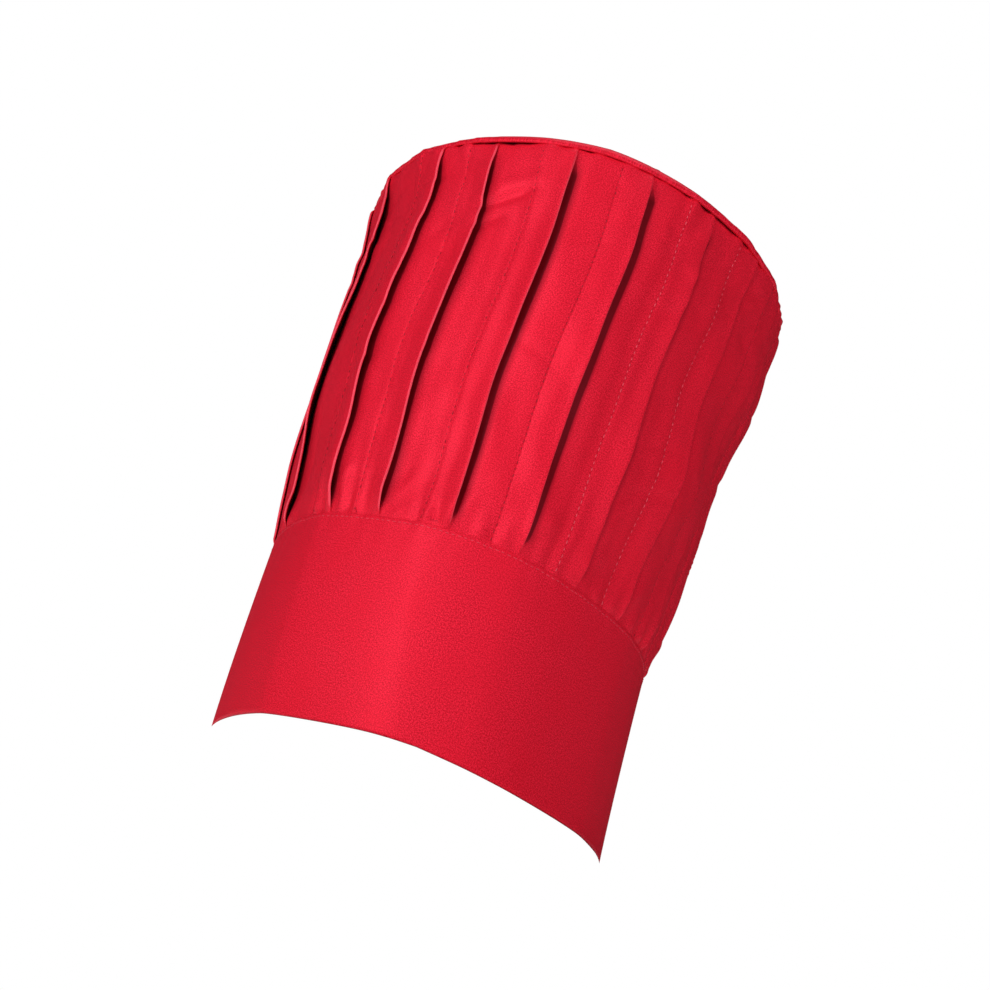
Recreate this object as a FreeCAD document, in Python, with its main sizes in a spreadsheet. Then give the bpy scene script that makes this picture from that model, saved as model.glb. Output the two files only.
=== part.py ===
import FreeCAD, Part
import math
import os
import re

# A tall chef toque: a folded, stiffened oval headband, a flaring crown wall with stitched vertical tucks,
# a soft oval top, and a hook-and-loop tab that closes the band over a slit at the back.
# Frame: origin at the centre of the head opening on the rim plane, +Z up, the hat's front faces -Y.

PARTS = "parts"

DIMENSIONS = {
    # headband, measured on its outer face
    "band_half_width": 87.0,
    "band_half_depth": 104.0,
    "band_height": 87.0,
    # layers
    "cloth": 0.7,
    "stiffener": 0.7,
    "gap": 0.05,
    "thread": 0.5,
    # crown
    "crown_height": 181.0,
    "crown_flare": 12.0,
    "crown_hem": 8.0,
    "top_rise": 10.0,
    # stitched tucks of the crown wall
    "tuck_count": 20.0,
    "tuck_depth": 13.5,
    "tuck_lift": 1.4,
    "tuck_start": 7.0,
    # slit at the back of the crown and band
    "slit_width": 2.4,
    "slit_height": 52.0,
    "binding_width": 3.6,
    # closure tab, as polar angles about the hat's axis (90 degrees is the centre of the back)
    "tab_root_angle": 85.0,
    "tab_span": 31.0,
    "tab_foot_span": 2.5,
    "edge_margin": 1.0,
    # hook and loop tapes
    "tape": 1.0,
    "tape_margin": 11.0,
    "hook_start": 101.0,
    "hook_span": 13.0,
    "loop_start": 94.0,
    "loop_span": 26.0,
    # blank size label inside the band
    "label_start": 52.0,
    "label_span": 17.0,
    "label_height": 20.0,
    "label_base": 34.0,
}

FAR = 160.0  # reach of cutting tools, beyond every face of the hat
LOFT_STEPS = 4  # stretches between the oval sections of the crown wall


doc = FreeCAD.newDocument("chef_toque")


def make_sheet():
    sheet = doc.addObject("Spreadsheet::Sheet", "Dims")
    for row, (alias, value) in enumerate(DIMENSIONS.items(), start=1):
        sheet.set(f"A{row}", alias)
        sheet.set(f"B{row}", str(value))
        sheet.setAlias(f"B{row}", alias)
    doc.recompute()
    return sheet


dims = make_sheet()


def named(text):
    """An expression in which every dimension name refers to its cell."""
    return re.sub(r"\b(" + "|".join(DIMENSIONS) + r")\b", r"Dims.\1", text)


def bind(obj, prop, text):
    obj.setExpression(prop, named(text))
    return obj


# ---- Building blocks: ovals, rings, sectors and booleans ---------------------------------------


def oval(name, grow, height):
    """The band's oval, grown outward by grow, lying at a height. Its long axis runs front to back."""
    ellipse = doc.addObject("Part::Ellipse", name)
    ellipse.Placement = FreeCAD.Placement(FreeCAD.Vector(), FreeCAD.Rotation(FreeCAD.Vector(0, 0, 1), 90))
    bind(ellipse, "MajorRadius", f"band_half_depth + ({grow})")
    bind(ellipse, "MinorRadius", f"band_half_width + ({grow})")
    bind(ellipse, "Placement.Base.z", height)
    return ellipse


def oval_block(name, grow, low, high):
    block = doc.addObject("Part::Extrusion", name)
    block.Base = oval(name + "_oval", grow, low)
    block.DirMode = "Custom"
    block.Dir = FreeCAD.Vector(0, 0, 1)
    block.Solid = True
    bind(block, "LengthFwd", f"({high}) - ({low})")
    return block


def cut(name, base, tool):
    result = doc.addObject("Part::Cut", name)
    result.Base = base
    result.Tool = tool
    return result


def common(name, base, tool):
    result = doc.addObject("Part::Common", name)
    result.Base = base
    result.Tool = tool
    return result


def fuse(name, *shapes):
    result = doc.addObject("Part::MultiFuse", name)
    result.Shapes = list(shapes)
    return result


def ring(name, inner, outer, low, high):
    """An oval ring between two offsets of the band's outer face."""
    body = oval_block(name + "_outer", outer, low, high)
    return cut(name, body, oval_block(name + "_inner", inner, low, high))


def sector(name, start, span, low, high):
    """A pie slice about the hat's axis, from a polar angle, between two heights."""
    slice_ = doc.addObject("Part::Cylinder", name)
    slice_.Radius = FAR
    slice_.Placement.Rotation = FreeCAD.Rotation(FreeCAD.Vector(0, 0, 1), 0)
    bind(slice_, "Angle", f"({span}) * 1 deg")
    bind(slice_, "Height", f"({high}) - ({low})")
    bind(slice_, "Placement.Rotation.Angle", f"({start}) * 1 deg")
    bind(slice_, "Placement.Base.z", low)
    return slice_


def patch(name, inner, outer, start, span, low, high):
    """A curved rectangle of cloth or tape that follows the band."""
    whole = ring(name + "_ring", inner, outer, low, high)
    return common(name, whole, sector(name + "_slice", start, span, low, high))


def stitched_frame(name, inner, outer, start, span, low, high):
    """A rectangle of thread that follows the band, one thread wide on every side."""
    line_angle = "thread / band_half_depth * 180 / pi"
    whole = patch(name + "_whole", inner, outer, start, span, low, high)
    middle = sector(
        name + "_middle",
        f"{start} + {line_angle}",
        f"{span} - 2 * {line_angle}",
        f"{low} + thread",
        f"{high} - thread",
    )
    return cut(name, whole, middle)


def back_box(name, width, low, high):
    """A block across the centre of the back, for slits and the pieces round them."""
    box = doc.addObject("Part::Box", name)
    box.Width = FAR
    bind(box, "Length", width)
    bind(box, "Height", f"({high}) - ({low})")
    bind(box, "Placement.Base.x", f"-({width}) / 2")
    bind(box, "Placement.Base.z", low)
    return box


# ---- Crown surfaces ----------------------------------------------------------------------------


CROWN_BASE = "-cloth - gap"  # the wall's outer face where it leaves the band


def flare_share(t):
    """Share of the flare reached at a fraction t of the crown's height: it opens fast, then less and less."""
    return 1 - (1 - t) ** 2


def crown_block(name, grow):
    """The solid inside the crown wall's outer face, grown outward by grow."""
    sections = []
    for step in range(LOFT_STEPS + 1):
        t = step / LOFT_STEPS
        offset = f"{CROWN_BASE} + crown_flare * {flare_share(t)} + ({grow})"
        sections.append(oval(f"{name}_{step}", offset, f"band_height + crown_height * {t}"))
    loft = doc.addObject("Part::Loft", name)
    loft.Sections = sections
    loft.Solid = True
    loft.Ruled = False
    return loft


def wall_point(t, param_angle, lift):
    """A point outside the crown wall by a lift, at a fraction t of its height.

    The angle is the oval's own parameter: 0 at the front, growing towards +X.
    """
    offset = -dims.cloth - dims.gap + dims.crown_flare * flare_share(t) + lift
    return FreeCAD.Vector(
        (dims.band_half_width + offset) * math.sin(param_angle),
        -(dims.band_half_depth + offset) * math.cos(param_angle),
        dims.band_height + dims.crown_height * t,
    )


def tuck_angles():
    """The oval's parameter angles of each tuck's stitch line and fold, evenly spaced along the wall."""
    grow = dims.crown_flare * flare_share(0.5)
    half_depth, half_width = dims.band_half_depth + grow, dims.band_half_width + grow
    outline = Part.Ellipse(FreeCAD.Vector(), half_depth, half_width).toShape()
    spacing = outline.Length / dims.tuck_count
    starts = [dims.tuck_start + spacing * index for index in range(int(dims.tuck_count))]
    return [
        (outline.getParameterByLength(start), outline.getParameterByLength(start + dims.tuck_depth))
        for start in starts
    ]


def polar_degrees(param_angle):
    """The polar angle about the hat's axis of a parameter angle on the wall."""
    point = wall_point(0.5, param_angle, 0)
    return math.degrees(math.atan2(point.y, point.x)) % 360


# ---- Headband ----------------------------------------------------------------------------------


INNER_FACE = "-3 * cloth - 2 * gap"  # the band's inner face: two layers of cloth with the stiffener between


def make_band():
    """One strip of cloth folded along the rim, open at the top for the crown's hem and split at the back."""
    folded = ring("band_folded", INNER_FACE, "0", "0", "band_height")
    pocket = ring("band_pocket", "-2 * cloth - 2 * gap", "-cloth", "cloth", "band_height + 1")
    sleeve = cut("band_sleeve", folded, pocket)
    return cut("band", sleeve, back_box("band_slit", "slit_width", "-1", "band_height + 1"))


def make_band_interlining():
    outer = "-cloth - gap"
    high = "band_height - crown_hem - 1"
    whole = ring("stiffener_ring", outer + " - stiffener", outer, "cloth + gap", high)
    return cut("band_interlining", whole, back_box("stiffener_gap", "slit_width + 2", "0", high))


# ---- Crown -------------------------------------------------------------------------------------


def make_tucks():
    """The raised strips of the tucks: each runs from its stitch line to its fold, up the whole wall."""
    low, high = "band_height + 0.5", "band_height + crown_height - 1"
    slices = []
    for index, (stitch_angle, fold_angle) in enumerate(tuck_angles()):
        start = polar_degrees(stitch_angle)
        span = (polar_degrees(fold_angle) - start) % 360
        slices.append(sector(f"tuck_{index}", str(start), str(span), low, high))
    return common("tucks", crown_block("tuck_outer", "tuck_lift"), fuse("tuck_slices", *slices))


def make_crown_wall():
    """The flaring wall of the crown, with its hem inside the band and its tucks laid towards one side."""
    hem_low, hem_high = "band_height - crown_hem", "band_height + 1"
    outer = fuse(
        "wall_solid",
        crown_block("wall_outer", "0"),
        oval_block("hem_outer", CROWN_BASE, hem_low, hem_high),
        make_tucks(),
    )
    inner = fuse(
        "wall_hollow",
        crown_block("wall_inner", "-cloth"),
        oval_block("hem_inner", CROWN_BASE + " - cloth", hem_low + " - 1", hem_high),
    )
    slit = back_box("wall_slit", "slit_width", "0", "band_height + slit_height")
    return cut("crown_wall", cut("wall_shell", outer, inner), slit)


def dome(name, shrink):
    """Half of a flattened ellipsoid that closes the crown's top, shrunk all round by shrink."""
    cap = doc.addObject("Part::Ellipsoid", name)
    cap.Angle1 = 0
    bind(cap, "Radius1", f"top_rise - ({shrink})")
    bind(cap, "Radius2", f"band_half_width + {CROWN_BASE} + crown_flare - ({shrink})")
    bind(cap, "Radius3", f"band_half_depth + {CROWN_BASE} + crown_flare - ({shrink})")
    bind(cap, "Placement.Base.z", "band_height + crown_height + gap")
    return cap


def make_crown_top():
    return cut("crown_top", dome("top_outer", "0"), dome("top_inner", "cloth"))


def make_top_seam_binding():
    """The tape that covers the raw edges inside the top seam."""
    outer = CROWN_BASE + f" + crown_flare * {flare_share(0.95)} - cloth - 4 * gap"
    top = "band_height + crown_height - 1"
    return ring("top_seam_binding", outer + " - cloth", outer, top + " - 8", top)


def wall_skin(name, lift, thickness):
    """A skin that follows the crown wall's outer face, a lift outside it."""
    outer = crown_block(name + "_outer", f"{lift} + {thickness}")
    return cut(name, outer, crown_block(name + "_inner", lift))


def make_slit_binding():
    """The folded tape round the open slit at the back of the crown."""
    shell = wall_skin("binding_skin", "gap", "cloth")
    low, top = "band_height + 0.5", "band_height + slit_height"
    outer = back_box("binding_box", "slit_width + 2 * binding_width", low, top + " + binding_width")
    frame = cut("binding_frame", outer, back_box("binding_middle", "slit_width", "band_height", top))
    return common("slit_binding", shell, frame)


# ---- Closure -----------------------------------------------------------------------------------


TAPE_IN = "gap"  # the loop tape lies on the band's outer face
HOOK_IN = "tape + 3 * gap"
TAB_IN = "2 * tape + 4 * gap"
TAB_OUT = TAB_IN + " + 3 * cloth + 2 * gap"


def make_closure_tab():
    """A folded sleeve of cloth that crosses the slit, with a foot sewn to the band at its root."""
    low, high = "edge_margin", "band_height - edge_margin"
    sleeve = patch("tab_sleeve", TAB_IN, TAB_OUT, "tab_root_angle", "tab_span", low, high)
    pocket = patch(
        "tab_pocket",
        TAB_IN + " + cloth",
        TAB_IN + " + 2 * cloth + 2 * gap",
        "tab_root_angle + tab_foot_span",
        "tab_span - tab_foot_span - 0.6",
        low + " + cloth",
        high + " - cloth",
    )
    foot = patch("tab_foot", TAPE_IN, TAB_IN + " + cloth", "tab_root_angle", "tab_foot_span", low, high)
    return fuse("closure_tab", cut("tab_hollow", sleeve, pocket), foot)


def make_tab_interlining():
    inner = TAB_IN + " + cloth + gap"
    return patch(
        "tab_interlining",
        inner,
        inner + " + stiffener",
        "tab_root_angle + tab_foot_span + 0.4",
        "tab_span - tab_foot_span - 1.4",
        "edge_margin + cloth + 0.5",
        "band_height - edge_margin - cloth - 0.5",
    )


def make_hook_tape():
    low, high = "tape_margin", "band_height - tape_margin"
    return patch("hook_tape", HOOK_IN, HOOK_IN + " + tape", "hook_start", "hook_span", low, high)


def make_loop_tape():
    low, high = "tape_margin", "band_height - tape_margin"
    return patch("loop_tape", TAPE_IN, TAPE_IN + " + tape", "loop_start", "loop_span", low, high)


def make_size_label():
    face = INNER_FACE + " - gap"
    high = "label_base + label_height"
    return patch("size_label", face + " - cloth", face, "label_start", "label_span", "label_base", high)


# ---- Stitching ---------------------------------------------------------------------------------


def make_band_top_stitching():
    """The line of stitches that holds the crown in the band. It stops at the tab's foot."""
    whole = ring("edge_thread_ring", "gap", "gap + thread", "band_height - 2.5", "band_height - 2.5 + thread")
    slit = back_box("edge_thread_slit", "slit_width", "0", "band_height")
    foot = sector("edge_thread_foot", "tab_root_angle - 3.5", "tab_foot_span + 4.5", "0", "band_height")
    return cut("band_top_stitching", whole, fuse("edge_thread_gaps", slit, foot))


def make_tuck_stitching():
    """One vertical line of stitches at the root of every tuck."""
    skin = wall_skin("tuck_thread_skin", "2 * gap", "thread")
    beside = math.degrees(2 * dims.thread / dims.band_half_width)  # keeps the thread clear of the raised tuck
    low, high = "band_height + 3.5", "band_height + crown_height - 3"
    slices = []
    for index, (stitch_angle, _) in enumerate(tuck_angles()):
        start = polar_degrees(stitch_angle) - beside
        slices.append(sector(f"tuck_thread_{index}", str(start), "thread / band_half_depth * 180 / pi", low, high))
    return common("tuck_stitching", skin, fuse("tuck_thread_slices", *slices))


def make_top_seam_stitching():
    """The stitches that close the top seam, on the inside of its binding."""
    face = CROWN_BASE + f" + crown_flare * {flare_share(0.95)} - 2 * cloth - 5 * gap"
    low = "band_height + crown_height - 5"
    return ring("top_seam_stitching", face + " - thread", face, low, low + " + thread")


def make_slit_stitching():
    """The line of stitches round the slit's binding."""
    shell = wall_skin("slit_thread_skin", "2 * gap + cloth", "thread")
    inset = "binding_width - 1"
    wide = f"slit_width + 2 * ({inset})"
    top = f"band_height + slit_height + {inset}"
    outer = back_box("slit_thread_box", wide, "band_height + 1", top)
    middle = back_box("slit_thread_middle", f"{wide} - 2 * thread", "band_height", f"{top} - thread")
    return common("slit_stitching", shell, cut("slit_thread_frame", outer, middle))


def make_slit_bar_tack():
    """The dense bar of thread that stops the slit from tearing upward."""
    shell = wall_skin("tack_skin", "2 * gap + cloth", "2 * thread")
    low = "band_height + slit_height + 0.4"
    bar = back_box("tack_box", "slit_width + binding_width", low, low + " + 1.3")
    return common("slit_bar_tack", shell, bar)


def make_tab_edge_stitching():
    face = TAB_OUT + " + gap"
    return stitched_frame(
        "tab_edge_stitching",
        face,
        face + " + thread",
        "tab_root_angle + 0.8",
        "tab_span - 1.6",
        "edge_margin + 2",
        "band_height - edge_margin - 2",
    )


def make_hook_tape_stitching():
    """The seam that holds the hook tape, as it shows on the outside of the tab."""
    face = TAB_OUT + " + gap"
    return stitched_frame(
        "hook_tape_stitching",
        face,
        face + " + thread",
        "hook_start + 0.8",
        "hook_span - 1.6",
        "tape_margin + 1.5",
        "band_height - tape_margin - 1.5",
    )


def make_loop_tape_stitching():
    """The seam that holds the loop tape, as it shows on the inside of the band."""
    face = INNER_FACE + " - gap"
    return stitched_frame(
        "loop_tape_stitching",
        face + " - thread",
        face,
        "loop_start + 0.8",
        "loop_span - 1.6",
        "tape_margin + 1.5",
        "band_height - tape_margin - 1.5",
    )


def make_label_stitching():
    face = INNER_FACE + " - cloth - 2 * gap"
    return stitched_frame(
        "label_stitching",
        face + " - thread",
        face,
        "label_start + 0.6",
        "label_span - 1.2",
        "label_base + 1",
        "label_base + label_height - 1",
    )


SUBPARTS = [
    make_band,
    make_band_interlining,
    make_crown_wall,
    make_crown_top,
    make_top_seam_binding,
    make_slit_binding,
    make_closure_tab,
    make_tab_interlining,
    make_hook_tape,
    make_loop_tape,
    make_size_label,
    make_band_top_stitching,
    make_tuck_stitching,
    make_top_seam_stitching,
    make_slit_stitching,
    make_slit_bar_tack,
    make_tab_edge_stitching,
    make_hook_tape_stitching,
    make_loop_tape_stitching,
    make_label_stitching,
]


def main():
    made = [make() for make in SUBPARTS]
    doc.recompute()
    for obj in doc.Objects:
        if {"Invalid", "Error"} & set(obj.State):
            raise RuntimeError(f"{obj.Name} failed to build: {obj.State}")
    for obj in made:
        if obj.Shape.isNull() or not obj.Shape.isValid() or not obj.Shape.Solids:
            raise RuntimeError(f"{obj.Label} is not a valid solid")
    os.makedirs(PARTS, exist_ok=True)
    for obj in made:
        obj.Shape.exportStep(os.path.join(PARTS, obj.Label + ".step"))


main()
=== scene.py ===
# A red chef toque: the looks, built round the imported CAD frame. Metres, +Z up, the hat's front faces -Y.
import math

import bpy
import numpy as np
from mathutils import Matrix, Vector


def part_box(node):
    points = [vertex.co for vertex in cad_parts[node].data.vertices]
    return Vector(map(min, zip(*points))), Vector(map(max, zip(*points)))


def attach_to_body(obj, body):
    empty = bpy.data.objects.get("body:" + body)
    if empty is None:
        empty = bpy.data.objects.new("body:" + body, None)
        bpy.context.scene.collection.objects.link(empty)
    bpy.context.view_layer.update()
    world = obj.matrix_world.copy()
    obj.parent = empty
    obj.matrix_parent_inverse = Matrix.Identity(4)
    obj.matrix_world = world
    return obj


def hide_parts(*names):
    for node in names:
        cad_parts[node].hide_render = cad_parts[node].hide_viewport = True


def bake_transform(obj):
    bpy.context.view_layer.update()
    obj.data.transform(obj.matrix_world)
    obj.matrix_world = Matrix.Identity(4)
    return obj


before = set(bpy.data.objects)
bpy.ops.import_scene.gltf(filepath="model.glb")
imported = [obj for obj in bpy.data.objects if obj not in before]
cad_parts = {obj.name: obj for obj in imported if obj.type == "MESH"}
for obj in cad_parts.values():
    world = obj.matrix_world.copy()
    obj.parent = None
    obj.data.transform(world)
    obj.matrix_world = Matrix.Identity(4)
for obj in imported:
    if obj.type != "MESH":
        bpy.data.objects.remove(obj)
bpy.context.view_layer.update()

MM = 0.001


# ---- Sizes, read from the frame or shared with the CAD ----

band_low, band_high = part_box("band")
top_low, top_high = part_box("crown_top")

HALF_W = (band_high.x - band_low.x) / 2  # half width of the band's outer oval
HALF_D = (band_high.y - band_low.y) / 2  # half length, front to back
BAND_TOP = band_high.z
SEAM_Z = top_low.z  # height of the seam between wall and top
CROWN = SEAM_Z - BAND_TOP

CLOTH = 0.7 * MM
GAP = 0.05 * MM
BASE_GROW = -CLOTH - GAP  # the wall leaves the band just inside the band's outer layer
TOP_GROW = (top_high.x - top_low.x) / 2 - HALF_W

TUCKS = 20
TUCK_DEPTH = 13.5 * MM  # from stitch line to fold
FIRST_STITCH = 7 * MM  # from the centre of the front
SLIT_WIDTH = 2.4 * MM
SLIT_TOP = BAND_TOP + 52 * MM
TAPE_LOW, TAPE_HIGH = 11 * MM, 76 * MM  # both tapes of the closure


# ---- The oval: distances along it, and noise that closes round it ----

LAYOUT_GROW = 9 * MM  # the tucks are laid out on the oval of the middle of the wall
TABLE_PHI = np.linspace(0, 2 * math.pi, 8193)


def oval_lengths():
    a, b = HALF_W + LAYOUT_GROW, HALF_D + LAYOUT_GROW
    x, y = a * np.sin(TABLE_PHI), -b * np.cos(TABLE_PHI)
    return np.concatenate([[0], np.cumsum(np.hypot(np.diff(x), np.diff(y)))])


TABLE_LENGTH = oval_lengths()
LENGTH = TABLE_LENGTH[-1]
PITCH = LENGTH / TUCKS
BACK = LENGTH / 2  # the centre of the back


def phi_of(s):
    """The oval's angle at a distance s from the centre of the front, towards +X."""
    return np.interp(np.mod(s, LENGTH), TABLE_LENGTH, TABLE_PHI)


def s_of_polar(degrees):
    """The distance along the oval of a polar angle about the hat's axis, measured from +X."""
    angle = math.radians(degrees)
    phi = math.atan2(math.cos(angle) / HALF_W, -math.sin(angle) / HALF_D) % (2 * math.pi)
    return float(np.interp(phi, TABLE_PHI, TABLE_LENGTH))


def smooth(x):
    x = np.clip(x, 0, 1)
    return x * x * (3 - 2 * x)


def bell(x, middle, width):
    return np.exp(-(((x - middle) / width) ** 2))


def crown_share(z):
    """0 at the band's top edge and below, 1 at the top seam and above."""
    return np.clip((z - BAND_TOP) / CROWN, 0, 1)


def ripple(s, z, seed, across, along, count=28):
    """Smooth seeded noise of about unit size, with these wavelengths, closed round the hat."""
    rng = np.random.default_rng(seed)
    total = np.zeros(np.broadcast(s, z).shape)
    for _ in range(count):
        turns = max(1, round(LENGTH / across * rng.uniform(0.55, 1.45)))
        rise = rng.normal(0, 1 / along)
        total += np.cos(2 * math.pi * (turns * s / LENGTH + rise * z + rng.random()))
    return total * math.sqrt(2 / count)


def round_hat(distance):
    """A distance along the oval, taken the short way round."""
    return np.mod(distance + LENGTH / 2, LENGTH) - LENGTH / 2


def along_line(s, z, at_s, at_z, slant):
    """Distances along and beside a slanting line through a place on the wall."""
    ds, dz = round_hat(s - at_s), z - at_z
    return ds * math.cos(slant) + dz * math.sin(slant), -ds * math.sin(slant) + dz * math.cos(slant)


def bumps(s, z, seed, count, size, low, high):
    """Seeded slanting creases scattered over the wall between two heights: length, width = size."""
    rng = np.random.default_rng(seed)
    length, width = size
    total = np.zeros(np.broadcast(s, z).shape)
    for _ in range(count):
        at_s, at_z = rng.uniform(0, LENGTH), rng.uniform(low, high)
        slant = math.radians(rng.uniform(15, 50)) * rng.choice([-1, 1])
        along, beside = along_line(s, z, at_s, at_z, slant)
        grown = rng.uniform(0.6, 1.3)
        fade = (along / length / grown) ** 2 + (beside / width / grown) ** 2
        total += rng.uniform(0.5, 1) * np.exp(-fade)
    return total


# ---- Surfaces: places on the band and on the crown wall ----


def sway(y, z):
    """How far the soft hat leans towards +X, at its rim and high on the crown; the back stays put."""
    low = 4.5 * MM * np.clip(1 - z / BAND_TOP, 0, 1) ** 1.5
    high = 2.0 * MM * bell(z, BAND_TOP + 0.76 * CROWN, 0.24 * CROWN)
    waist = -1.5 * MM * bell(z, BAND_TOP + 0.4 * CROWN, 0.2 * CROWN)
    return (low + high + waist) * smooth(1 - y / (0.75 * HALF_D))


def spread(x, z):
    """How far the stiff seamed edge of the top pushes the sides out; the +X side runs straighter below it."""
    t = (z - BAND_TOP) / CROWN
    straighter = 1.9 * MM * bell(t, 0.36, 0.12) - 2.4 * MM * bell(t, 0.6, 0.12)
    edge = 2.6 * MM * x / HALF_W * smooth((z - SEAM_Z + 26 * MM) / (24 * MM))
    return edge + straighter * smooth(x / (0.8 * HALF_W))


def settle(x, y, z):
    """How much the soft hat has sunk on its +X side and risen on the other; the front of the top sags."""
    height = z / SEAM_Z
    sideways = x / HALF_W * np.where(x > 0, 2.3 + 1.6 * height, 1.0 + 0.5 * height - 4.0 * height**8) * MM
    rim = np.where(x > 0, 6.6 * MM * x / HALF_W * (0.85 - x / HALF_W), 0) * np.clip(1 - z / BAND_TOP, 0, 1)
    forwards = (2.6 * MM - 1.8 * MM * x / HALF_W) * height**4
    return (sideways + rim + forwards * smooth(1 - x**2 / HALF_W**2)) * smooth(1 - y / (0.9 * HALF_D))


def oval_normal(phi, a, b):
    nx, ny = np.sin(phi) / a, -np.cos(phi) / b
    size = np.hypot(nx, ny)
    return nx / size, ny / size


def outward(s):
    nx, ny = oval_normal(phi_of(s), HALF_W, HALF_D)
    return np.stack([nx, ny, 0 * nx], axis=-1)


def on_oval(s, z, grow, out):
    """Points a distance out from the band's oval grown by grow."""
    phi = phi_of(s)
    a, b = HALF_W + grow, HALF_D + grow
    nx, ny = oval_normal(phi, a, b)
    x = a * np.sin(phi) + out * nx
    y = -b * np.cos(phi) + out * ny
    return np.stack(np.broadcast_arrays(x + sway(y, z) + spread(x, z), y, z - settle(x, y, z)), axis=-1)


def wall_grow(z):
    return BASE_GROW + (TOP_GROW - BASE_GROW) * (1 - (1 - crown_share(z)) ** 1.8)


# Stretches where the stiffened band runs flatter than its oval, as (middle, width, depth) in mm.
FACETS = [(-50, 62, 2.0), (60, 80, 2.2), (250, 80, 0.8), (-240, 80, 1.0)]


def facet(s, middle, width):
    """1 in the middle of a stretch of the oval, falling to 0 at its ends."""
    share = round_hat(s - middle) / (width / 2)
    return np.clip(1 - share**2, 0, 1) ** 1.5


# Soft upright creases in the band, as (place at its top edge in mm, lean, height in mm).
BAND_CREASES = [(-24, 0.15, 0.55), (-82, 0.0, 0.5), (52, -0.1, 0.35), (120, 0.1, 0.3), (-160, 0.1, 0.4)]


def crease(s, z, at, lean):
    """A soft ridge running down the band: 1 along it, falling off to both sides."""
    beside = round_hat(s - at - lean * (BAND_TOP - z))
    return np.exp(-(np.sqrt(beside**2 + (2 * MM) ** 2) - 2 * MM) / (13 * MM))


def band_relief(s, z):
    """How far the band's cloth waves in and out: stiff and calm, with small puckers at its sewn edge."""
    from_top = (BAND_TOP - z) / MM
    calm = 0.4 * MM * ripple(s, z, 3, 150 * MM, 300 * MM)
    pucker = 0.16 * MM * ripple(s, z, 4, 13 * MM, 60 * MM) * np.exp(-np.maximum(from_top, 0) / 7)
    flat = sum(-depth * MM * facet(s, middle * MM, width * MM) for middle, width, depth in FACETS)
    ridge = sum(height * MM * crease(s, z, at * MM, lean) for at, lean, height in BAND_CREASES)
    return calm + pucker + flat + ridge


def on_band(s, z, out):
    return on_oval(s, z, 0, out + band_relief(s, z))


# Single drag creases in the wall, as (place, height, slant in degrees, half length, width, depth), in mm.
DRAGS = [
    (-38, 238, 24, 13, 2.0, -1.3),
    (-44, 226, 30, 8, 2.0, -0.7),
    (-35, 246, 18, 12, 4.0, 0.9),
    (14, 247, 75, 8, 4.0, 0.9),
    (24, 244, 80, 10, 4.5, -1.1),
    (54, 246, 80, 9, 4.5, -1.0),
    (47, 250, 70, 8, 4.0, 0.8),
    (84, 240, 80, 10, 5.0, -0.9),
]
# A pucker beside the foot of each tuck's fold.
DRAGS += [((FIRST_STITCH + PITCH * k + TUCK_DEPTH) / MM + 5, 99, 62, 10, 3.0, 1.3) for k in range(TUCKS)]


def drag(s, z, at_s, at_z, slant, size, width):
    """One crease: 1 along its line, fading beside it and at its ends."""
    along, beside = along_line(s, z, at_s * MM, at_z * MM, math.radians(slant))
    return np.exp(-((along / (size * MM)) ** 4) - (beside / (width * MM)) ** 2)


def wall_relief(s, z):
    """The soft wall's waves: chords between the tucks, gathers at both seams, and slanting creases."""
    t = crown_share(z)
    share = np.mod(s - FIRST_STITCH, PITCH) / PITCH
    chord = -(0.3 + 1.1 * t**4) * MM * 4 * share * (1 - share)
    free = smooth(t / 0.12) * smooth((1 - t) / 0.1)
    wave = 0.9 * MM * ripple(s, z, 11, 95 * MM, 120 * MM) * free
    small = 0.27 * MM * ripple(s, z, 12, 26 * MM, 45 * MM) * free
    low_gather = 0.75 * MM * ripple(s, z, 13, 11 * MM, 90 * MM) * np.exp(-t * CROWN / (10 * MM))
    top_gather = 0.35 * MM * ripple(s, z, 14, 11 * MM, 90 * MM) * np.exp(-(1 - t) * CROWN / (8 * MM))
    crease = -0.8 * MM * bumps(s, z, 15, 60, (13 * MM, 2.4 * MM), BAND_TOP, SEAM_Z) * free
    crease -= 0.7 * MM * bumps(s, z, 16, 70, (11 * MM, 2.6 * MM), SEAM_Z - 48 * MM, SEAM_Z - 6 * MM) * free
    for *line, depth in DRAGS:
        crease += depth * MM * drag(s, z, *line) * free
    held = smooth((z - BAND_TOP + 1 * MM) / (5 * MM))
    return (chord + wave + small + low_gather + top_gather + crease) * held


def on_wall(s, z, out):
    return on_oval(s, z, wall_grow(z), out + wall_relief(s, z) + band_relief(s, np.minimum(z, BAND_TOP)))


# ---- Mesh helpers ----


def new_object(name, points, faces, smooth_shade=True, cloth=None, open_air=None):
    """A mesh object.

    cloth: each point's place on the flat cloth; open_air: painted light, 0 for painted shade deep inside a
    fold, 1 for none, above 1 for a painted highlight.
    """
    mesh = bpy.data.meshes.new(name)
    mesh.from_pydata(np.asarray(points).reshape(-1, 3).tolist(), [], [list(map(int, f)) for f in faces])
    mesh.update()
    mesh.polygons.foreach_set("use_smooth", [smooth_shade] * len(mesh.polygons))
    if cloth is not None:
        layer = mesh.attributes.new("cloth", "FLOAT_VECTOR", "POINT")
        layer.data.foreach_set("vector", np.asarray(cloth, np.float32).reshape(-1, 3).ravel())
        air = mesh.attributes.new("open_air", "FLOAT", "POINT")
        count = len(mesh.vertices)
        air.data.foreach_set("value", np.ones(count, np.float32) if open_air is None else np.ravel(open_air))
    obj = bpy.data.objects.new(name, mesh)
    bpy.context.scene.collection.objects.link(obj)
    return obj


def attach(obj, body, node=None):
    """Rides a finished piece on a body, in place of a CAD node."""
    if body:
        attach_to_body(obj, body)
    if node:
        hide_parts(node)


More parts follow.
